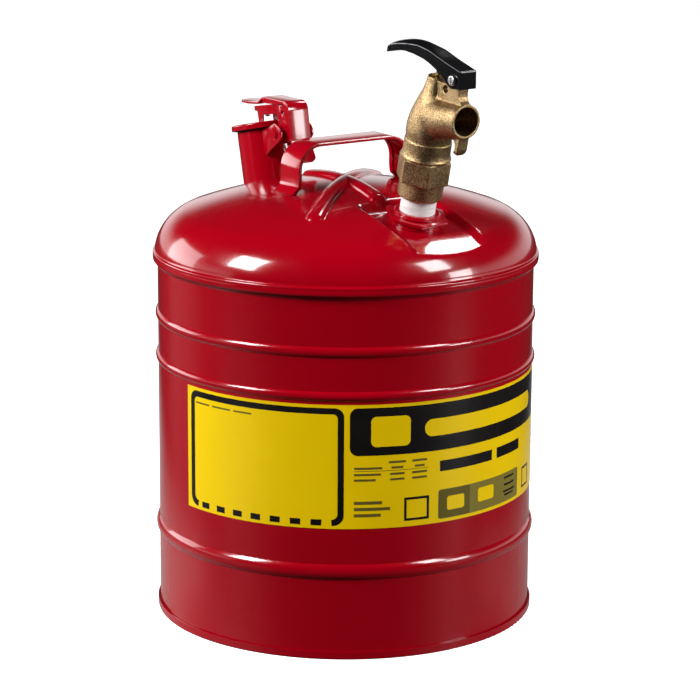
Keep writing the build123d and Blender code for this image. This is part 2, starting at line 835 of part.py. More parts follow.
FLANGE_S = (56.6, 58.8)
DISC_TOP = SEAT_S - 0.1
with BuildPart() as valve_stem:
    with BuildSketch(FAUCET_SIDE):
        with BuildLine():
            Polyline(
                (0, 51),
                (STEM_R - 0.6, 51),
                (STEM_R, 51.6),
                (STEM_R, FLANGE_S[0]),
                (7.4, FLANGE_S[0]),
                (7.4, FLANGE_S[1]),
                (STEM_R, FLANGE_S[1]),
                (STEM_R, GLAND_S + 9.0),
                (TIP_R, GLAND_S + 9.6),
                (TIP_R, STEM_TOP - 1),
                (TIP_R - 1, STEM_TOP),
                (0, STEM_TOP),
                close=True,
            )
        make_face()
    revolve(axis=FAUCET_AXIS)

with BuildPart() as valve_disc:
    with BuildSketch(FAUCET.offset(FLANGE_S[1])):
        Circle(8.2)
        Circle(STEM_R, mode=Mode.SUBTRACT)
    extrude(amount=DISC_TOP - FLANGE_S[1])

SPRING_WIRE = 0.6
SPRING_TURNS = 5
SPRING_S = (RETAINER_S[1] + SPRING_WIRE + 0.05, FLANGE_S[0] - SPRING_WIRE - 0.05)
SPRING_LEN = SPRING_S[1] - SPRING_S[0]
with BuildPart() as valve_spring:
    with BuildLine():
        turns = Helix(
            pitch=SPRING_LEN / SPRING_TURNS,
            height=SPRING_LEN,
            radius=5.2,
            center=FAUCET_O + FAUCET_DIR * SPRING_S[0],
            direction=FAUCET_DIR,
        )
    with BuildSketch(Plane(origin=turns @ 0, z_dir=turns % 0)):
        Circle(SPRING_WIRE)
    sweep()

with BuildPart() as stem_packing:
    with BuildSketch(FAUCET.offset(PACKING_S)):
        Circle(GLAND_R)
        Circle(STEM_R + RUNNING, mode=Mode.SUBTRACT)
    extrude(amount=GLAND_S - PACKING_S)

with BuildPart() as gland_nut:
    with BuildSketch(FAUCET.offset(GLAND_S)):
        Circle(GLAND_R)
        Circle(STEM_R + RUNNING, mode=Mode.SUBTRACT)
    extrude(amount=3.4)

# side outline of the lever: top edge from the front to the thumb tip, then the underside
lever_top = [
    (33.8, 121.9),
    (13.0, 122.9),
    (0.0, 124.3),
    (-12.0, 125.6),
    (-22.0, 125.6),
    (-32.0, 123.6),
    (-47.0, 117.9),
    (-57.0, 112.0),
    (-61.4, 106.4),
]
lever_under = [
    (-60.4, 103.8),
    (-52.0, 107.5),
    (-42.0, 111.6),
    (-30.0, 114.2),
    (-18.0, 115.3),
    (-8.0, 115.4),
    (4.3, 113.4),
    (11.1, 111.4),
    (18.1, 108.2),
    (26.0, 105.9),
]
lever_plan = [(40, 7.3), (-8, 7.3), (-30, 6.6), (-45, 6.2), (-54, 5.6)]
SLOT_X = LUG_X + 0.5

with BuildPart() as faucet_lever:
    with BuildSketch(FAUCET_SIDE):
        with BuildLine():
            Spline(*lever_top[1:])
            Line(lever_top[-1], lever_under[0])
            Spline(*lever_under)
            Polyline(lever_under[-1], (36.6, 108.9), lever_top[0], lever_top[1])
        make_face()
    extrude(amount=LEVER_X, both=True)
    # plan shape: full width over the lug, slimmer towards a round thumb tip
    with BuildSketch(FAUCET.offset(95)):
        with BuildLine():
            side = [(w, -p) for p, w in lever_plan]
            Polyline((0, -40), side[0], *side[1:])
            ThreePointArc(side[-1], (0, 61.6), (-side[-1][0], side[-1][1]))
            Polyline((-side[-1][0], side[-1][1]), *[(-w, y) for w, y in side[-2::-1]], (0, -40))
        make_face()
    extrude(amount=40, mode=Mode.INTERSECT)
    # slot that straddles the lug
    with BuildSketch(FAUCET_SIDE):
        with BuildLine():
            Polyline(
                (12.5, 100),
                (33.7, 100),
                (33.6, 104),
                (31.9, 118.6),
                (19.0, 118.6),
                (12.5, 114.5),
                close=True,
            )
        make_face()
    extrude(amount=SLOT_X, both=True, mode=Mode.SUBTRACT)
    with BuildSketch(FAUCET_SIDE):
        with Locations((LUG_P, LUG_S)):
            Circle(SCREW_R + RUNNING)
    extrude(amount=20, both=True, mode=Mode.SUBTRACT)

PIVOT_SCREW = Plane(origin=FAUCET_SIDE.from_local_coords((LUG_P, LUG_S, 0)), z_dir=(-1, 0, 0))
HEAD_X = LEVER_X + 0.3
with BuildPart() as lever_screw:
    with BuildSketch(PIVOT_SCREW.offset(-HEAD_X - 4.4)):
        Circle(SCREW_R)
    extrude(amount=2 * HEAD_X + 4.4)
    with BuildSketch(PIVOT_SCREW.offset(HEAD_X)):
        Circle(3.9)
    extrude(amount=2.0)
    fillet(lever_screw.edges().group_by(Axis.X)[0], 1.2)
    # crossed driver recess
    for turn in (20, 110):
        with BuildSketch(PIVOT_SCREW.offset(HEAD_X + 0.7).rotated((0, 0, turn))):
            Rectangle(4.6, 1.0)
        extrude(amount=3, mode=Mode.SUBTRACT)

with BuildPart() as lever_nut:
    with BuildSketch(PIVOT_SCREW.offset(-HEAD_X - 3.2)):
        RegularPolygon(radius=4.0, side_count=6, major_radius=False)
        Circle(SCREW_R, mode=Mode.SUBTRACT)
    extrude(amount=3.2)

# ---- export -------------------------------------------------------------
pieces = {
    "body_shell": body_shell,
    "bottom_pan": bottom_pan,
    "top_dome": top_dome,
    "side_label": side_label,
    "carry_handle": carry_handle,
    "filler_neck": filler_neck,
    "neck_flame_arrester": neck_flame_arrester,
    "hinge_bracket": hinge_bracket,
    "hinge_pin": hinge_pin,
    "closing_spring": closing_spring,
    "cap_disc": cap_disc,
    "cap_gasket": cap_gasket,
    "yoke_stud": yoke_stud,
    "cap_yoke": cap_yoke,
    "cap_lever": cap_lever,
    "faucet_boss": faucet_boss,
    "faucet_body": faucet_body,
    "thread_tape": thread_tape,
    "faucet_flame_arrester": faucet_flame_arrester,
    "spring_retainer": spring_retainer,
    "valve_stem": valve_stem,
    "valve_disc": valve_disc,
    "valve_spring": valve_spring,
    "stem_packing": stem_packing,
    "gland_nut": gland_nut,
    "faucet_lever": faucet_lever,
    "lever_screw": lever_screw,
    "lever_nut": lever_nut,
}
for name, piece in pieces.items():
    piece.part.label = name
    export_step(piece.part, f"parts/{name}.step")
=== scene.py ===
import math

import bmesh
import bpy
import numpy as np
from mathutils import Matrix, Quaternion, Vector


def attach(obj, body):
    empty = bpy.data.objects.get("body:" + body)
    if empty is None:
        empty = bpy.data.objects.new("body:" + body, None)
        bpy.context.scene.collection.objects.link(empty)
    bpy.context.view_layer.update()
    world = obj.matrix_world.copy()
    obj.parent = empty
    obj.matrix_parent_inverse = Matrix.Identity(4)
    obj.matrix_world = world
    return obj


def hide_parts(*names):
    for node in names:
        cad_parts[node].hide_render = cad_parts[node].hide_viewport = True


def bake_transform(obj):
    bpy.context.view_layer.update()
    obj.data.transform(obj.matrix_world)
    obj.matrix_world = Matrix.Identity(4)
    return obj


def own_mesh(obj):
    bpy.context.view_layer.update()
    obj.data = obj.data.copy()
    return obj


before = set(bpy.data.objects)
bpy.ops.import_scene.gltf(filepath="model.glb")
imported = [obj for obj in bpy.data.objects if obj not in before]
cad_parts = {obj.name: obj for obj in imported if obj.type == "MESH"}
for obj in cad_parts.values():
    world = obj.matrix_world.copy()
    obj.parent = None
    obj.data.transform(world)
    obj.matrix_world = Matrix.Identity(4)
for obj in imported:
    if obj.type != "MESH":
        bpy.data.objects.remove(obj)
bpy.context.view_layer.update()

MM = 0.001


# ---- small helpers ---------------------------------------------------------
def link(obj):
    bpy.context.scene.collection.objects.link(obj)
    return obj


def new_mesh(name, verts, faces, material, smooth=True):
    """Mesh object from vertices in millimetres."""
    me = bpy.data.meshes.new(name)
    me.from_pydata([tuple(c * MM for c in v) for v in verts], [], faces)
    me.validate()
    me.update()
    me.materials.append(material)
    me.polygons.foreach_set("use_smooth", [smooth] * len(me.polygons))
    return link(bpy.data.objects.new(name, me))


class Shader:
    """A node material with a Principled shader and short ways to add detail."""

    def __init__(self, name, **values):
        self.mat = bpy.data.materials.new(name)
        self.mat.use_nodes = True
        self.tree = self.mat.node_tree
        self.bsdf = self.tree.nodes["Principled BSDF"]
        for key, value in values.items():
            socket = self.bsdf.inputs[key.replace("_", " ")]
            socket.default_value = (*value, 1) if isinstance(value, tuple) and len(value) == 3 else value
        self.coord = self.tree.nodes.new("ShaderNodeTexCoord").outputs["Object"]
        self.normal = None

    def node(self, kind, values=None, **props):
        n = self.tree.nodes.new(kind)
        for key, value in props.items():
            setattr(n, key, value)
        for key, value in (values or {}).items():
            if isinstance(value, bpy.types.NodeSocket):
                self.tree.links.new(value, n.inputs[key])
            else:
                n.inputs[key].default_value = value
        return n

    def stretched(self, factors):
        return self.node("ShaderNodeMapping", {"Vector": self.coord, "Scale": factors}).outputs[0]

    def noise(self, size, detail=3.0, rough=0.5, vector=None):
        """Noise with features about this many metres across."""
        return self.node(
            "ShaderNodeTexNoise",
            {"Vector": vector or self.coord, "Scale": 1 / size, "Detail": detail, "Roughness": rough},
        ).outputs["Fac"]

    def ramp(self, fac, *stops):
        n = self.node("ShaderNodeValToRGB", {"Fac": fac})
        cr = n.color_ramp
        while len(cr.elements) < len(stops):
            cr.elements.new(0.5)
        for e, (pos, colour) in zip(cr.elements, stops):
            e.position = pos
            e.color = (*colour, 1) if isinstance(colour, tuple) else (colour, colour, colour, 1)
        return n.outputs["Color"]

    def mix(self, fac, a, b, blend="MIX"):
        n = self.node("ShaderNodeMix", data_type="RGBA", blend_type=blend)
        for i, value in ((0, fac), (6, a), (7, b)):
            if isinstance(value, bpy.types.NodeSocket):
                self.tree.links.new(value, n.inputs[i])
            else:
                n.inputs[i].default_value = (*value, 1) if isinstance(value, tuple) else value
        return n.outputs[2]

    def bump(self, height, strength, depth):
        """Adds a bump of this depth in metres on top of the ones before."""
        values = {"Height": height, "Strength": strength, "Distance": depth}
        if self.normal is not None:
            values["Normal"] = self.normal
        self.normal = self.node("ShaderNodeBump", values).outputs[0]
        self.tree.links.new(self.normal, self.bsdf.inputs["Normal"])

    def set(self, socket, value):
        self.tree.links.new(value, self.bsdf.inputs[socket])


def paint(name, base, dark, rough, peel=0.00002, wear=0.35):
    """Baked enamel: depth variation, faint dust, orange peel."""
    s = Shader(name, Metallic=0.0, Coat_Weight=0.45, Coat_Roughness=0.035, Coat_IOR=1.5, IOR=1.45)
    cloud = s.noise(0.09, 3)
    s.set("Base Color", s.mix(s.ramp(cloud, (0.3, 0.0), (0.75, 1.0)), base, dark))
    smear = s.noise(0.03, 4, 0.6, s.stretched((1, 1, 0.35)))
    s.set("Roughness", s.ramp(smear, (0.3, rough), (0.8, rough * 1.6)))
    s.bump(s.noise(0.0035, 2), wear, peel)
    s.bump(s.noise(0.05, 2), 0.25, 0.00025)
    return s.mat


RED = paint("red_enamel", (0.40, 0.0, 0.008), (0.36, 0.0, 0.007), 0.13)
RED_SMALL = paint("red_enamel_small", (0.42, 0.0, 0.009), (0.37, 0.0, 0.008), 0.13, peel=0.000012)
BLACK = paint("black_enamel", (0.004, 0.004, 0.005), (0.008, 0.008, 0.009), 0.10, peel=0.00001)


def cast_brass():
    s = Shader("cast_brass", Metallic=1.0, IOR=1.5)
    tone = s.noise(0.012, 4, 0.6)
    base = s.ramp(tone, (0.25, (0.42, 0.290, 0.145)), (0.55, (0.55, 0.400, 0.220)), (0.8, (0.66, 0.50, 0.30)))
    grain = s.noise(0.0011, 3, 0.7)
    pits = s.ramp(grain, (0.38, (0.22, 0.14, 0.07)), (0.50, (0.66, 0.60, 0.50)), (0.60, (1.0, 1.0, 1.0)))
    s.set("Base Color", s.mix(0.85, base, pits, "MULTIPLY"))
    s.set("Roughness", s.ramp(s.noise(0.006, 3), (0.3, 0.36), (0.75, 0.50)))
    s.bump(grain, 0.9, 0.00040)
    s.bump(s.noise(0.0035, 2), 0.30, 0.0003)
    return s.mat


def turned_metal(name, light, dark, rough, metal=1.0):
    s = Shader(name, Metallic=metal)
    tone = s.noise(0.004, 4, 0.6)
    s.set("Base Color", s.ramp(tone, (0.3, dark), (0.7, light)))
    s.set("Roughness", s.ramp(s.noise(0.002, 3), (0.3, rough * 0.8), (0.8, rough * 1.3)))
    s.bump(s.noise(0.0008, 2), 0.2, 0.00004)
    return s.mat


BRASS = cast_brass()
TURNED = turned_metal("turned_brass", (0.76, 0.58, 0.28), (0.60, 0.43, 0.19), 0.25)
ZINC = turned_metal("zinc_steel", (0.78, 0.78, 0.76), (0.55, 0.55, 0.55), 0.30)
SPRING = turned_metal("spring_steel", (0.50, 0.50, 0.50), (0.30, 0.30, 0.31), 0.35)
MESH = turned_metal("perforated_steel", (0.64, 0.64, 0.62), (0.42, 0.42, 0.41), 0.38)


def rubber():
    s = Shader("black_rubber", Metallic=0.0)
    s.set("Base Color", s.ramp(s.noise(0.01, 4), (0.3, 0.018), (0.8, 0.045)))
    s.set("Roughness", s.ramp(s.noise(0.003, 3), (0.3, 0.55), (0.8, 0.75)))
    s.bump(s.noise(0.0006, 2), 0.2, 0.00004)
    return s.mat


def seal_tape():
    s = Shader("white_tape", Metallic=0.0, Roughness=0.42)
    wraps = s.noise(0.0011, 2, 0.5, s.stretched((0.05, 0.05, 1)))
    s.set("Base Color", s.ramp(wraps, (0.3, (0.74, 0.76, 0.76)), (0.6, (0.93, 0.94, 0.94))))
    s.bump(wraps, 0.5, 0.0003)
    return s.mat


RUBBER = rubber()
TAPE = seal_tape()


def print_ink(name, colour, shade, rough=0.22):
    """Glossy printed vinyl with slight tone changes and a faint ripple."""
    s = Shader(name, Metallic=0.0, Coat_Weight=0.25, Coat_Roughness=0.05)
    s.set("Base Color", s.mix(s.ramp(s.noise(0.05, 4), (0.3, 0.0), (0.8, 1.0)), colour, shade))
    s.set("Roughness", s.ramp(s.noise(0.012, 3), (0.3, rough * 0.85), (0.8, rough * 1.3)))
    s.bump(s.noise(0.030, 2), 0.25, 0.00012)
    return s.mat


YELLOW = print_ink("label_yellow", (1.0, 0.68, 0.0), (0.95, 0.63, 0.0))
INK = print_ink("label_black", (0.006, 0.005, 0.005), (0.012, 0.010, 0.009))
SOFT_INK = print_ink("label_fine_print", (0.16, 0.12, 0.02), (0.12, 0.09, 0.02))
OLIVE = print_ink("label_olive", (0.245, 0.20, 0.035), (0.215, 0.175, 0.03))
DEEP_OLIVE = print_ink("label_deep_olive", (0.135, 0.105, 0.012), (0.12, 0.095, 0.012))


# ---- CAD nodes that stay, with their materials --------------------------------
def dress(name, material):
    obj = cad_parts[name]
    obj.data.materials.clear()
    obj.data.materials.append(material)


LOOKS = {
    RED: ["body_shell", "bottom_pan", "top_dome"],
    RED_SMALL: [
        "carry_handle", "filler_neck", "hinge_bracket", "hinge_pin",
        "cap_disc", "cap_yoke", "cap_lever", "faucet_boss",
    ],
    YELLOW: ["side_label"],
    MESH: ["neck_flame_arrester", "faucet_flame_arrester"],
    ZINC: ["yoke_stud", "lever_screw", "lever_nut"],
    SPRING: ["closing_spring", "valve_spring"],
    RUBBER: ["cap_gasket", "valve_disc"],
    BRASS: ["faucet_body", "spring_retainer"],
    TURNED: ["valve_stem", "gland_nut"],
    TAPE: ["thread_tape", "stem_packing"],
    BLACK: ["faucet_lever"],
}
for material, names in LOOKS.items():
    for name in names:
        dress(name, material)


# ---- dome ----------------------------------------------------------------------
APEX, CROWN_R, KNUCKLE_R, DOME_R = 337.3, 366.0, 37.0, 147.9
RIDGES = [(-139.0, 102.0), (41.0, 100.0), (-101.0, 66.0), (81.0, 70.0)]
RIDGE_R, RIDGE_LIFT = 6.8, 3.7          # half width and height of a pressed ridge
TILT_F, TILT_N = math.radians(13.0), math.radians(13.3)
BOSS_FOOT = (90.75, 318.96)             # foot of the boss on the pad: distance from the axis, height
PAD_HALF = 33.7
PAD_EDGE, PAD_EDGE_Z, PAD_SLOPE = 121.0, 312.0, 0.455   # where the pad's front slope starts, and its fall
NECK_FOOT = (102.0, 321.0)
crown_z = APEX - CROWN_R
knuckle_u = DOME_R - KNUCKLE_R
knuckle_z = crown_z + math.sqrt((CROWN_R - KNUCKLE_R) ** 2 - knuckle_u**2)
join_r = CROWN_R * knuckle_u / (CROWN_R - KNUCKLE_R)


def step(x, lo, hi):
    t = np.clip((x - lo) / (hi - lo), 0, 1)
    return t * t * (3 - 2 * t)


def soft_min(a, b, k):
    h = np.clip(0.5 + 0.5 * (b - a) / k, 0, 1)
    return b + (a - b) * h - k * h * (1 - h)


def dome_height(x, y):
    r = np.hypot(x, y)
    crown = crown_z + np.sqrt(CROWN_R**2 - np.minimum(r, join_r) ** 2)
    knuckle = knuckle_z + np.sqrt(np.maximum(KNUCKLE_R**2 - np.maximum(r - knuckle_u, 0) ** 2, 0))
    z = np.where(r < join_r, crown, knuckle)
    lift = np.zeros_like(z)
    for azimuth, reach in RIDGES:
        dx, dy = math.cos(math.radians(azimuth)), math.sin(math.radians(azimuth))
        along = np.clip(x * dx + y * dy, 0, reach - 7)
        away = np.hypot(x - along * dx, y - along * dy)
        crest = np.sqrt(1 - np.clip(away / RIDGE_R, 0, 1) ** 2) * (1 - step(away, 5.6, 8.2))
        profile = crest + 0.10 * (1 - step(away, 5.6, 9.5))
        lift = np.maximum(lift, RIDGE_LIFT * profile)
    z = z + lift
    u = -y
    pad = BOSS_FOOT[1] - math.tan(TILT_F) * (u - BOSS_FOOT[0])
    front = PAD_EDGE_Z - PAD_SLOPE * (u - PAD_EDGE)
    cut = soft_min(pad, front, 1.6)
    cut = cut + (z - cut) * (1 - step(u, 56, 70)) + 60 * (1 - step(u, 36, 56))
    inside = 1 - step(np.abs(x), PAD_HALF - 6.0, PAD_HALF + 1.5)
    return np.where(y < -20, z + (np.minimum(soft_min(z, cut, 1.4), z) - z) * inside, z)


def build_dome():
    rings = list(np.arange(0.8, 138, 0.9)) + list(138 + 9.3 * np.sin(np.linspace(0, math.pi / 2, 22)))
    hem = [
        (147.35, 285.4), (147.6, 284.9), (148.3, 284.6), (148.85, 284.3), (149.1, 283.7),
        (149.17, 282.9), (148.95, 282.3), (149.17, 281.7), (149.17, 279.2), (149.0, 278.3),
        (148.6, 277.75), (148.0, 277.65), (147.2, 277.7),
    ]
    turns = 720
    a = np.linspace(0, 2 * math.pi, turns, endpoint=False)
    ca, sa = np.cos(a), np.sin(a)
    rows = []
    for r in rings:
        rows.append(np.stack([r * ca, r * sa, dome_height(r * ca, r * sa)], 1))
    for r, z in hem:
        rows.append(np.stack([r * ca, r * sa, np.full(turns, z)], 1))
    verts = np.concatenate(rows)
    verts = np.vstack([verts, [0, 0, dome_height(np.array([0.0]), np.array([0.0]))[0]]])
    # hole for the filler neck: drop what lies inside its wall, pull the rim onto it
    axis = np.array([0, math.sin(TILT_N), math.cos(TILT_N)])
    off = verts - np.array([0, NECK_FOOT[0], NECK_FOOT[1]])
    away = off - np.outer(off @ axis, axis)
    dist = np.linalg.norm(away, axis=1)
    dist[verts[:, 1] < 0] = 1e3
    gone = dist < 21.9
    near = (dist >= 21.9) & (dist < 22.9)
    verts[near] += away[near] * ((22.8 - dist[near]) / dist[near])[:, None]
    faces = []
    for i in range(len(rows) - 1):
        for k in range(turns):
            n = (k + 1) % turns
            faces.append((i * turns + k, (i + 1) * turns + k, (i + 1) * turns + n, i * turns + n))
    top = len(verts) - 1
    faces += [(k, (k + 1) % turns, top) for k in range(turns)]
    faces = [f for f in faces if not any(gone[v] for v in f)]
    used = sorted({v for f in faces for v in f})
    index = {v: i for i, v in enumerate(used)}
    dome = new_mesh("dome_skin", [verts[v] for v in used], [[index[v] for v in f] for f in faces], RED)
    return dome


dome = build_dome()
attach(dome, "can")
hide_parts("top_dome")


# ---- pieces whose CAD shape gets rounded edges -----------------------------------
def copied(node, name, material):
    """Own copy of a CAD node's mesh, welded."""
    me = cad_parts[node].data.copy()
    me.name = name
    me.materials.clear()
    me.materials.append(material)
    bm = bmesh.new()
    bm.from_mesh(me)
    bmesh.ops.remove_doubles(bm, verts=bm.verts, dist=0.00001)
    bm.to_mesh(me)
    bm.free()
    return link(bpy.data.objects.new(name, me))


def use_modifier(obj, kind, **props):
    mod = obj.modifiers.new(kind.lower(), kind)
    for key, value in props.items():
        setattr(mod, key, value)
    dg = bpy.context.evaluated_depsgraph_get()
    made = bpy.data.meshes.new_from_object(obj.evaluated_get(dg))
    obj.modifiers.remove(mod)
    old = obj.data
    obj.data = made
    bpy.data.meshes.remove(old)


def softened(node, body, material, width):
    """CAD node with small rounded edges that catch the light."""
    obj = copied(node, node + "_finished", material)
    bm = bmesh.new()
    bm.from_mesh(obj.data)
    bmesh.ops.dissolve_limit(bm, angle_limit=math.radians(0.6), verts=bm.verts, edges=bm.edges)
    bm.to_mesh(obj.data)
    bm.free()
    use_modifier(
        obj, "BEVEL", width=width * MM, segments=3, limit_method="ANGLE",
        angle_limit=math.radians(40), use_clamp_overlap=True, harden_normals=False,
    )
    obj.data.polygons.foreach_set("use_smooth", [True] * len(obj.data.polygons))
    obj.data.set_sharp_from_angle(angle=math.radians(38))
    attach(obj, body)
    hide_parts(node)
    return obj


FAUCET_O = np.array([0.0, -93.0, 328.7]) * MM
FAUCET_UP = (0, -math.sin(TILT_F), math.cos(TILT_F))
MOUTH_P, MOUTH_S = 40.3, 85.1           # spout mouth, in the faucet's side plane
RISE_COS, RISE_SIN = 0.985, 0.172       # rise of the spout from square to the faucet's axis
SPOUT_BORE = 10.5
# the lever's side outline, (p, s), and how far its edges fall below the crown
LEVER_TOP = [
    (-61.4, 106.4), (-57, 112.0), (-47, 117.9), (-32, 123.6), (-22, 125.6),
    (-12, 125.6), (0, 124.3), (13, 122.9), (33.8, 121.9),
]
LEVER_UNDER = [
    (-60.4, 103.8), (-52, 107.5), (-42, 111.6), (-30, 114.2), (-18, 115.3),
    (-8, 115.4), (4.3, 113.4), (11.1, 111.4), (26, 105.9),
]
LEVER_HALF = [(8, 7.3), (30, 6.6), (45, 6.2), (54, 5.6), (58, 4.4)]
LEVER_FALL = [(-8, 0.0), (4, 0.5), (17, 2.2), (30, 3.4), (45, 2.6), (60, 1.0)]


def faucet_ps(co):
    """Distances from the faucet's axis towards its spout and along the axis, in millimetres."""
    rel = (co - FAUCET_O) / MM
    p = -rel[:, 1] * math.cos(TILT_F) - rel[:, 2] * math.sin(TILT_F)
    s = -rel[:, 1] * math.sin(TILT_F) + rel[:, 2] * math.cos(TILT_F)
    return p, s


def coords(obj):
    co = np.empty(len(obj.data.vertices) * 3)
    obj.data.vertices.foreach_get("co", co)
    return co.reshape(-1, 3)


def put_coords(obj, co):
    obj.data.vertices.foreach_set("co", co.ravel())
    obj.data.update()


def smooth_where(obj, weight, rounds):
    """Smoothing limited to vertices by a weight."""
    group = obj.vertex_groups.new(name="soft")
    for level in range(1, 11):
        picked = np.flatnonzero(np.round(weight * 10) == level)
        if len(picked):
            group.add([int(i) for i in picked], level / 10, "REPLACE")
    use_modifier(obj, "SMOOTH", factor=0.5, iterations=rounds, vertex_group="soft")


def cast_faucet():
    """Faucet body as one casting: crisp hexagon, mouth and lug, soft blend between column and spout."""
    obj = copied("faucet_body", "faucet_body_casting", BRASS)
    use_modifier(obj, "REMESH", mode="VOXEL", voxel_size=0.42 * MM)
    use_modifier(obj, "SMOOTH", factor=0.5, iterations=4)
    co = coords(obj)
    p, s = faucet_ps(co)
    away = np.hypot(p, co[:, 0] / MM)
    mouth = (p - MOUTH_P) * RISE_COS + (s - MOUTH_S) * RISE_SIN
    blend = step(s, 59.5, 64) * (1 - step(s, 98, 103)) * (1 - step(mouth, -9, -3.5)) * step(away, 9.6, 10.8)
    across = -(p - MOUTH_P) * RISE_SIN + (s - MOUTH_S) * RISE_COS
    bore = np.abs(np.hypot(co[:, 0] / MM, across) - SPOUT_BORE)
    blend *= np.where((bore < 0.8) & (mouth > -30), 0.0, 1.0)
    blend *= 1 - step(p, 11, 15) * step(s, 86, 90) * (1 - step(np.abs(co[:, 0]) / MM, 6, 9))
    normals = np.empty(len(co) * 3)
    obj.data.vertices.foreach_get("normal", normals)
    put_coords(obj, co + normals.reshape(-1, 3) * (blend * 0.7 * MM)[:, None])
    smooth_where(obj, blend, 260)
    obj.data.polygons.foreach_set("use_smooth", [True] * len(obj.data.polygons))
    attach(obj, "can")
    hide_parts("faucet_body")


def profile_at(at, points):
    """Value at each distance of a line through (distance, value) points."""
    return np.interp(at, [a for a, _ in points], [b for _, b in points])


def crowned_lever():
    """Faucet lever with its top rounded across, more so towards the thumb end."""
    obj = copied("faucet_lever", "faucet_lever_crowned", BLACK)
    use_modifier(obj, "REMESH", mode="VOXEL", voxel_size=0.38 * MM)
    use_modifier(obj, "SMOOTH", factor=0.5, iterations=3)
    co = coords(obj)
    p, s = faucet_ps(co)
    x = co[:, 0] / MM
    top = profile_at(p, LEVER_TOP)
    low = profile_at(p, LEVER_UNDER)
    half = profile_at(-p, LEVER_HALF)
    deep = profile_at(-p, LEVER_FALL)
    sideways = np.clip(np.abs(x) / half, 0, 1) ** 2.2
    upwards = np.clip((s - low) / np.maximum(top - low, 1), 0, 1) ** 1.5
    drop = deep * sideways * upwards
    down = -np.array(FAUCET_UP)
    put_coords(obj, co + np.outer(drop * MM, down))
    use_modifier(obj, "SMOOTH", factor=0.5, iterations=3)
    obj.data.polygons.foreach_set("use_smooth", [True] * len(obj.data.polygons))
    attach(obj, "lever")
    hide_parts("faucet_lever")


def winding_springs():
    """Own copies of the closing spring and the valve spring, in place of the CAD nodes."""
    wound = copied("closing_spring", "closing_spring_wound", SPRING)
    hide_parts("closing_spring")
    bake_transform(wound)
    pressed = copied("valve_spring", "valve_spring_pressed", SPRING)
    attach(pressed, "can")
    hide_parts("valve_spring")
    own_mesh(pressed)


cast_faucet()
crowned_lever()
winding_springs()
softened("carry_handle", "can", RED_SMALL, 0.35)
softened("cap_lever", "cap_arm", RED_SMALL, 0.35)
softened("cap_yoke", "cap_arm", RED_SMALL, 0.3)
softened("hinge_bracket", "can", RED_SMALL, 0.3)
softened("faucet_boss", "can", RED_SMALL, 0.4)


# ---- label print ------------------------------------------------------------------
LABEL_R, LABEL_LOW = 145.7, 101.7


def on_drum(x, y, lift):
    """Point on the label from millimetres along it and up it."""
    r = LABEL_R + lift
    a = math.radians(-179.2) + x / LABEL_R
    return (r * math.cos(a), r * math.sin(a), LABEL_LOW + y)


def column_patch(name, columns, material, lift=0.06):
    """Printed patch given as columns (x, low, high) along the label."""
    verts, faces = [], []
    for x, low, high in columns:
        verts += [on_drum(x, low, lift), on_drum(x, high, lift)]
    for i in range(len(columns) - 1):
        faces.append((2 * i, 2 * i + 2, 2 * i + 3, 2 * i + 1))
    return new_mesh(name, verts, faces, material)


def rounded(x0, y0, x1, y1, corner):
    """Columns of a rounded rectangle."""
    xs = {x0, x1}
    n = 8
    for k in range(n + 1):
        d = corner * (1 - math.cos(math.pi / 2 * k / n)) if corner else 0
        xs |= {x0 + d, x1 - d}
    x = x0 + corner
    while x < x1 - corner:
        xs.add(x)
        x += 3.0
    columns = []
    for x in sorted(xs):
        edge = min(x - x0, x1 - x)
        inset = corner - math.sqrt(max(corner**2 - (corner - edge) ** 2, 0)) if edge < corner else 0
        columns.append((x, y0 + inset, y1 - inset))
    return columns


def loop_patch(name, outer, inner, material, lift=0.06):
    """Printed band between two loops with the same number of points."""
    n = len(outer)
    verts = [on_drum(*p, lift) for p in outer] + [on_drum(*p, lift) for p in inner]
    faces = [(k, (k + 1) % n, n + (k + 1) % n, n + k) for k in range(n)]
    return new_mesh(name, verts, faces, material)


def box_loop(x0, y0, x1, y1, n=8):
    corners = [(x0, y0), (x1, y0), (x1, y1), (x0, y1)]
    loop = []
    for a, b in zip(corners, corners[1:] + corners[:1]):
        loop += [(a[0] + (b[0] - a[0]) * k / n, a[1] + (b[1] - a[1]) * k / n) for k in range(n)]
    return loop


def box(name, x0, y0, x1, y1, line, material, lift=0.06):
    """Empty square frame."""
    inner = box_loop(x0 + line, y0 + line, x1 - line, y1 - line)
    return loop_patch(name, box_loop(x0, y0, x1, y1), inner, material, lift)


def bars(name, rows, height, material, lift=0.06):
    """Plain bars in place of lines of text: (x from, x to, y)."""
    return [
        column_patch(f"{name}_{i}", rounded(a, y, b, y + height, 0), material, lift)
        for i, (a, b, y) in enumerate(rows)
    ]


prints = []
# writing panel: frame open along the bottom, where it is dashed
FRAME_X, FRAME_Y, LINE = (4.5, 137.5), (2.4, 92.2), 4.6
x0, x1 = FRAME_X
y0, y1 = FRAME_Y


def corner_arc(cx, cy, r, start):
    angles = [math.radians(start + 9 * k) for k in range(11)]
    return [(cx + r * math.cos(a), cy + r * math.sin(a)) for a in angles]


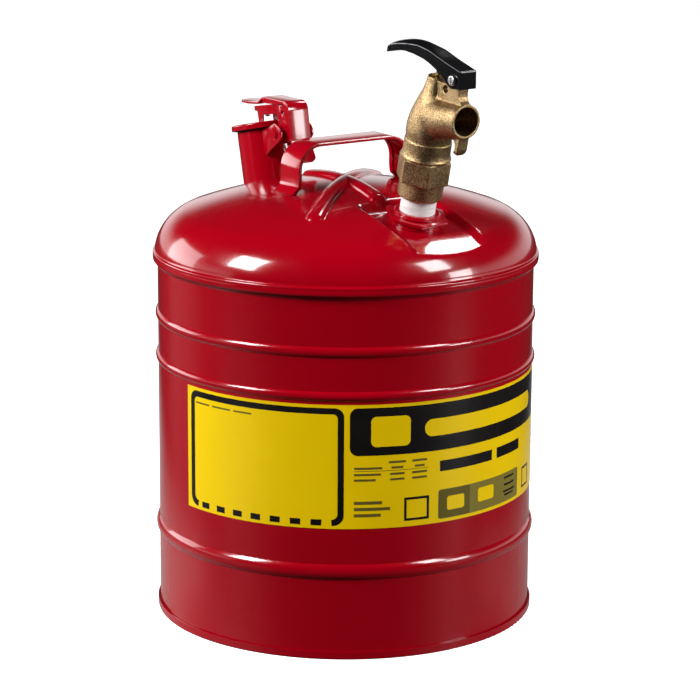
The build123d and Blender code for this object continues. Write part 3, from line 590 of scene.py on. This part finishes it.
def panel_path(inset):
    r_low, r_top = 8.0 - inset * 0.75, 7.0 - inset * 0.75
    left, right, top, low = x0 + inset, x1 - inset, y1 - inset, y0 + inset
    path = [(13.0, low), *reversed(corner_arc(left + r_low, low + r_low, r_low, 180))]
    path += [(left, low + r_low + 12 * k) for k in range(1, 6)]
    path += list(reversed(corner_arc(left + r_top, top - r_top, r_top, 90)))
    path += [(left + r_top + 3.5 * k, top) for k in range(1, 33)]
    path += list(reversed(corner_arc(right - r_top, top - r_top, r_top, 0)))
    path += [(right, top - r_top - 12 * k) for k in range(1, 6)]
    path += list(reversed(corner_arc(right - r_low, low + r_low, r_low, 270)))
    return path + [(128.5, low)]


outer_path, inner_path = panel_path(0.0), panel_path(LINE)
n = len(outer_path)
prints.append(new_mesh("print_panel_frame",
                       [on_drum(*p, 0.06) for p in outer_path] + [on_drum(*p, 0.06) for p in inner_path],
                       [(k, k + 1, n + k + 1, n + k) for k in range(n - 1)], INK))
for k in range(7):
    left = 17.5 + 15.9 * k
    cols = [(left + 2 * i, y0, y0 + LINE) for i in range(5)]
    prints.append(column_patch(f"print_dash_{k}", cols, INK))
prints += bars("print_panel_note", [(11, 26, 82.6), (29, 47, 82.6), (50, 66, 82.6)], 1.3, SOFT_INK)
# dark band with two blank patches
prints.append(column_patch("print_band", rounded(141.8, 56.0, 446.0, 92.2, 6.0), INK))
prints.append(column_patch("print_band_patch", rounded(157.5, 62.5, 187.5, 85.5, 4.0), YELLOW, 0.12))
prints.append(column_patch("print_band_bar", rounded(199.0, 67.4, 330.0, 80.6, 6.4), YELLOW, 0.12))
# heading, table and capacity lines as plain bars
prints += bars("print_heading", [(212, 264, 39.5), (270, 305, 39.5)], 8.2, INK)
TABLE = [
    (171, 184, 49.6), (189, 201, 49.6), (145, 166, 45.4), (173, 182, 45.4), (191, 199, 45.4),
    (145, 165, 40.6), (172, 183, 40.6), (189, 201, 40.6), (145, 161, 36.4), (172, 183, 36.4),
    (189, 201, 36.4),
]
prints += bars("print_table", TABLE, 1.7, SOFT_INK)
prints += bars("print_table_rule", [(145, 202, 43.9)], 0.4, SOFT_INK)
prints += bars("print_lines", [(145, 166, 18.6), (145, 172, 13.8), (145, 165, 9.0)], 2.4, SOFT_INK)
prints.append(box("print_box", 183.0, 4.4, 203.0, 22.4, 1.9, INK))
# olive strip with blank patches and bars, and an empty frame
prints.append(column_patch("print_strip", rounded(210.8, 2.6, 303.5, 25.4, 2.2), OLIVE))
prints.append(column_patch("print_strip_end", rounded(211.2, 3.0, 240.0, 25.0, 1.8), DEEP_OLIVE, 0.10))
prints.append(column_patch("print_patch_a", rounded(218.5, 8.6, 234.5, 19.4, 2.0), YELLOW, 0.14))
prints.append(column_patch("print_patch_b", rounded(248.5, 9.6, 266.5, 20.4, 2.0), YELLOW, 0.14))
PATCH_LINES = [(281, 296, 20.6), (281, 296, 15.2), (280, 297, 10.0), (282, 295, 7.2)]
prints += bars("print_patch_c", PATCH_LINES, 1.6, INK, 0.14)
prints.append(box("print_end_box", 313.5, 5.4, 330.5, 21.8, 1.7, INK))
SIDE_LINES = [(350, 430, 42), (350, 418, 36), (350, 424, 30), (350, 400, 24)]
prints += bars("print_side_lines", SIDE_LINES, 2.4, SOFT_INK)
for p in prints:
    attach(p, "can")


# ---- floor, light and camera ---------------------------------------------------------
AZIMUTH = math.radians(-34.9)
toward = Vector((math.sin(AZIMUTH), -math.cos(AZIMUTH), 0))     # from the can to the camera
right = Vector((math.cos(AZIMUTH), math.sin(AZIMUTH), 0))


def eased(shader, value, low, high, start=0.0, end=1.0):
    values = {"Value": value, "From Min": low, "From Max": high, "To Min": start, "To Max": end}
    node = shader.node("ShaderNodeMapRange", values, interpolation_type="SMOOTHSTEP")
    return node.outputs["Result"]


def along(shader, direction):
    node = shader.node("ShaderNodeVectorMath", {0: shader.coord}, operation="DOT_PRODUCT")
    node.inputs[1].default_value = direction
    return node.outputs["Value"]


def times(shader, a, b):
    return shader.node("ShaderNodeMath", {0: a, 1: b}, operation="MULTIPLY").outputs[0]


def floor():
    """White floor to the eye; to reflections and bounce light it is painted dark, a painted shade, with a
    pale painted patch of light a little way in front of and to the sides of the can.
    """
    s = Shader("floor_pale", Metallic=0.0, Specular_IOR_Level=0.2)
    seen = s.node("ShaderNodeLightPath").outputs["Is Camera Ray"]
    # painted pool of light: a pale patch in front of and beside the can; elsewhere reflections and bounce
    # light see a floor painted dark, a painted shade
    front = eased(s, along(s, toward), 0.02, 0.16, 1.0, 0.0)
    side = s.node("ShaderNodeMath", {0: along(s, right)}, operation="ABSOLUTE").outputs[0]
    painted_light_patch = times(s, front, eased(s, side, 0.22, 0.50, 1.0, 0.0))
    tone = s.ramp(s.noise(0.4, 3), (0.3, 0.88), (0.8, 0.92))
    reflected = s.mix(painted_light_patch, (0.004, 0.004, 0.004), (0.42, 0.41, 0.40))
    s.set("Base Color", s.mix(seen, reflected, tone))
    s.set("Emission Color", s.mix(seen, (0.0, 0.0, 0.0), (1.0, 1.0, 1.0)))
    s.bsdf.inputs["Emission Strength"].default_value = 0.88
    s.set("Roughness", s.ramp(s.noise(0.02, 3), (0.3, 0.55), (0.8, 0.65)))
    s.bump(s.noise(0.002, 2), 0.05, 0.0001)
    me = bpy.data.meshes.new("floor")
    me.from_pydata([(-12, -12, 0), (12, -12, 0), (12, 12, 0), (-12, 12, 0)], [], [(0, 1, 2, 3)])
    me.materials.append(s.mat)
    obj = link(bpy.data.objects.new("floor", me))
    return obj


floor()


def softbox(name, side, front, height, aim, size, power):
    data = bpy.data.lights.new(name, "AREA")
    data.shape = "RECTANGLE"
    data.size, data.size_y = size
    data.energy = power
    obj = link(bpy.data.objects.new(name, data))
    obj.location = right * side + toward * front + Vector((0, 0, height))
    obj.rotation_mode = "QUATERNION"
    obj.rotation_quaternion = (Vector((0, 0, aim)) - obj.location).to_track_quat("-Z", "Y")
    return obj


softbox("key_left", -1.94, 0.84, 1.62, 0.25, (0.8, 1.05), 74)
softbox("side_left", -2.1, -0.95, 0.75, 0.2, (1.3, 1.0), 17)
softbox("key_right", 1.75, 1.05, 1.6, 0.25, (0.62, 0.9), 32)
softbox("card_right", 1.72, 0.64, 0.57, 0.37, (0.5, 0.42), 10)
softbox("card_back_right", 0.75, -1.38, 1.95, 0.31, (0.46, 0.22), 6)


def surroundings():
    """White all round to the eye; what the can reflects is white behind it and dim on the camera's side."""
    world = bpy.data.worlds.new("studio")
    bpy.context.scene.world = world
    world.use_nodes = True
    t = world.node_tree
    t.nodes.clear()
    out = t.nodes.new("ShaderNodeOutputWorld")
    coord = t.nodes.new("ShaderNodeTexCoord")
    dot = t.nodes.new("ShaderNodeVectorMath")
    dot.operation = "DOT_PRODUCT"
    dot.inputs[1].default_value = -toward
    t.links.new(coord.outputs["Generated"], dot.inputs[0])
    ramp = t.nodes.new("ShaderNodeMapRange")
    ramp.interpolation_type = "SMOOTHSTEP"
    for key, value in (("From Min", -0.38), ("From Max", -0.28), ("To Min", 0.004), ("To Max", 1.0)):
        ramp.inputs[key].default_value = value
    t.links.new(dot.outputs["Value"], ramp.inputs["Value"])
    seen = t.nodes.new("ShaderNodeBackground")
    seen.inputs["Color"].default_value = (1, 1, 1, 1)
    seen.inputs["Strength"].default_value = 1.0
    lit = t.nodes.new("ShaderNodeBackground")
    height = t.nodes.new("ShaderNodeSeparateXYZ")
    t.links.new(coord.outputs["Generated"], height.inputs[0])
    low = t.nodes.new("ShaderNodeMapRange")
    low.interpolation_type = "SMOOTHSTEP"
    for key, value in (("From Min", 0.10), ("From Max", 0.32), ("To Min", 1.0), ("To Max", 0.01)):
        low.inputs[key].default_value = value
    t.links.new(height.outputs["Z"], low.inputs["Value"])
    both = t.nodes.new("ShaderNodeMath")
    both.operation = "MULTIPLY"
    t.links.new(ramp.outputs["Result"], both.inputs[0])
    t.links.new(low.outputs["Result"], both.inputs[1])
    t.links.new(both.outputs[0], lit.inputs["Strength"])
    lit.inputs["Color"].default_value = (1, 1, 1, 1)
    path = t.nodes.new("ShaderNodeLightPath")
    mix = t.nodes.new("ShaderNodeMixShader")
    t.links.new(path.outputs["Is Camera Ray"], mix.inputs["Fac"])
    t.links.new(lit.outputs[0], mix.inputs[1])
    t.links.new(seen.outputs[0], mix.inputs[2])
    t.links.new(mix.outputs[0], out.inputs["Surface"])


surroundings()

ROLL, LENS = 0.3, 151.1
DISTANCE, HEIGHT = 2.228, 0.7378        # from the can's axis, and over the floor
AIM_RIGHT, AIM_HEIGHT = 0.0037, 0.203
cam_data = bpy.data.cameras.new("camera")
cam_data.sensor_width = 36.0
cam_data.lens = LENS
cam_data.clip_end = 60
camera = link(bpy.data.objects.new("camera", cam_data))
camera.location = toward * DISTANCE + Vector((0, 0, HEIGHT))
target = right * AIM_RIGHT + Vector((0, 0, AIM_HEIGHT))
camera.rotation_mode = "QUATERNION"
level = (target - camera.location).to_track_quat("-Z", "Y")
camera.rotation_quaternion = level @ Quaternion((0, 0, 1), math.radians(ROLL))
bpy.context.scene.camera = camera

bpy.context.scene.view_settings.view_transform = "Standard"
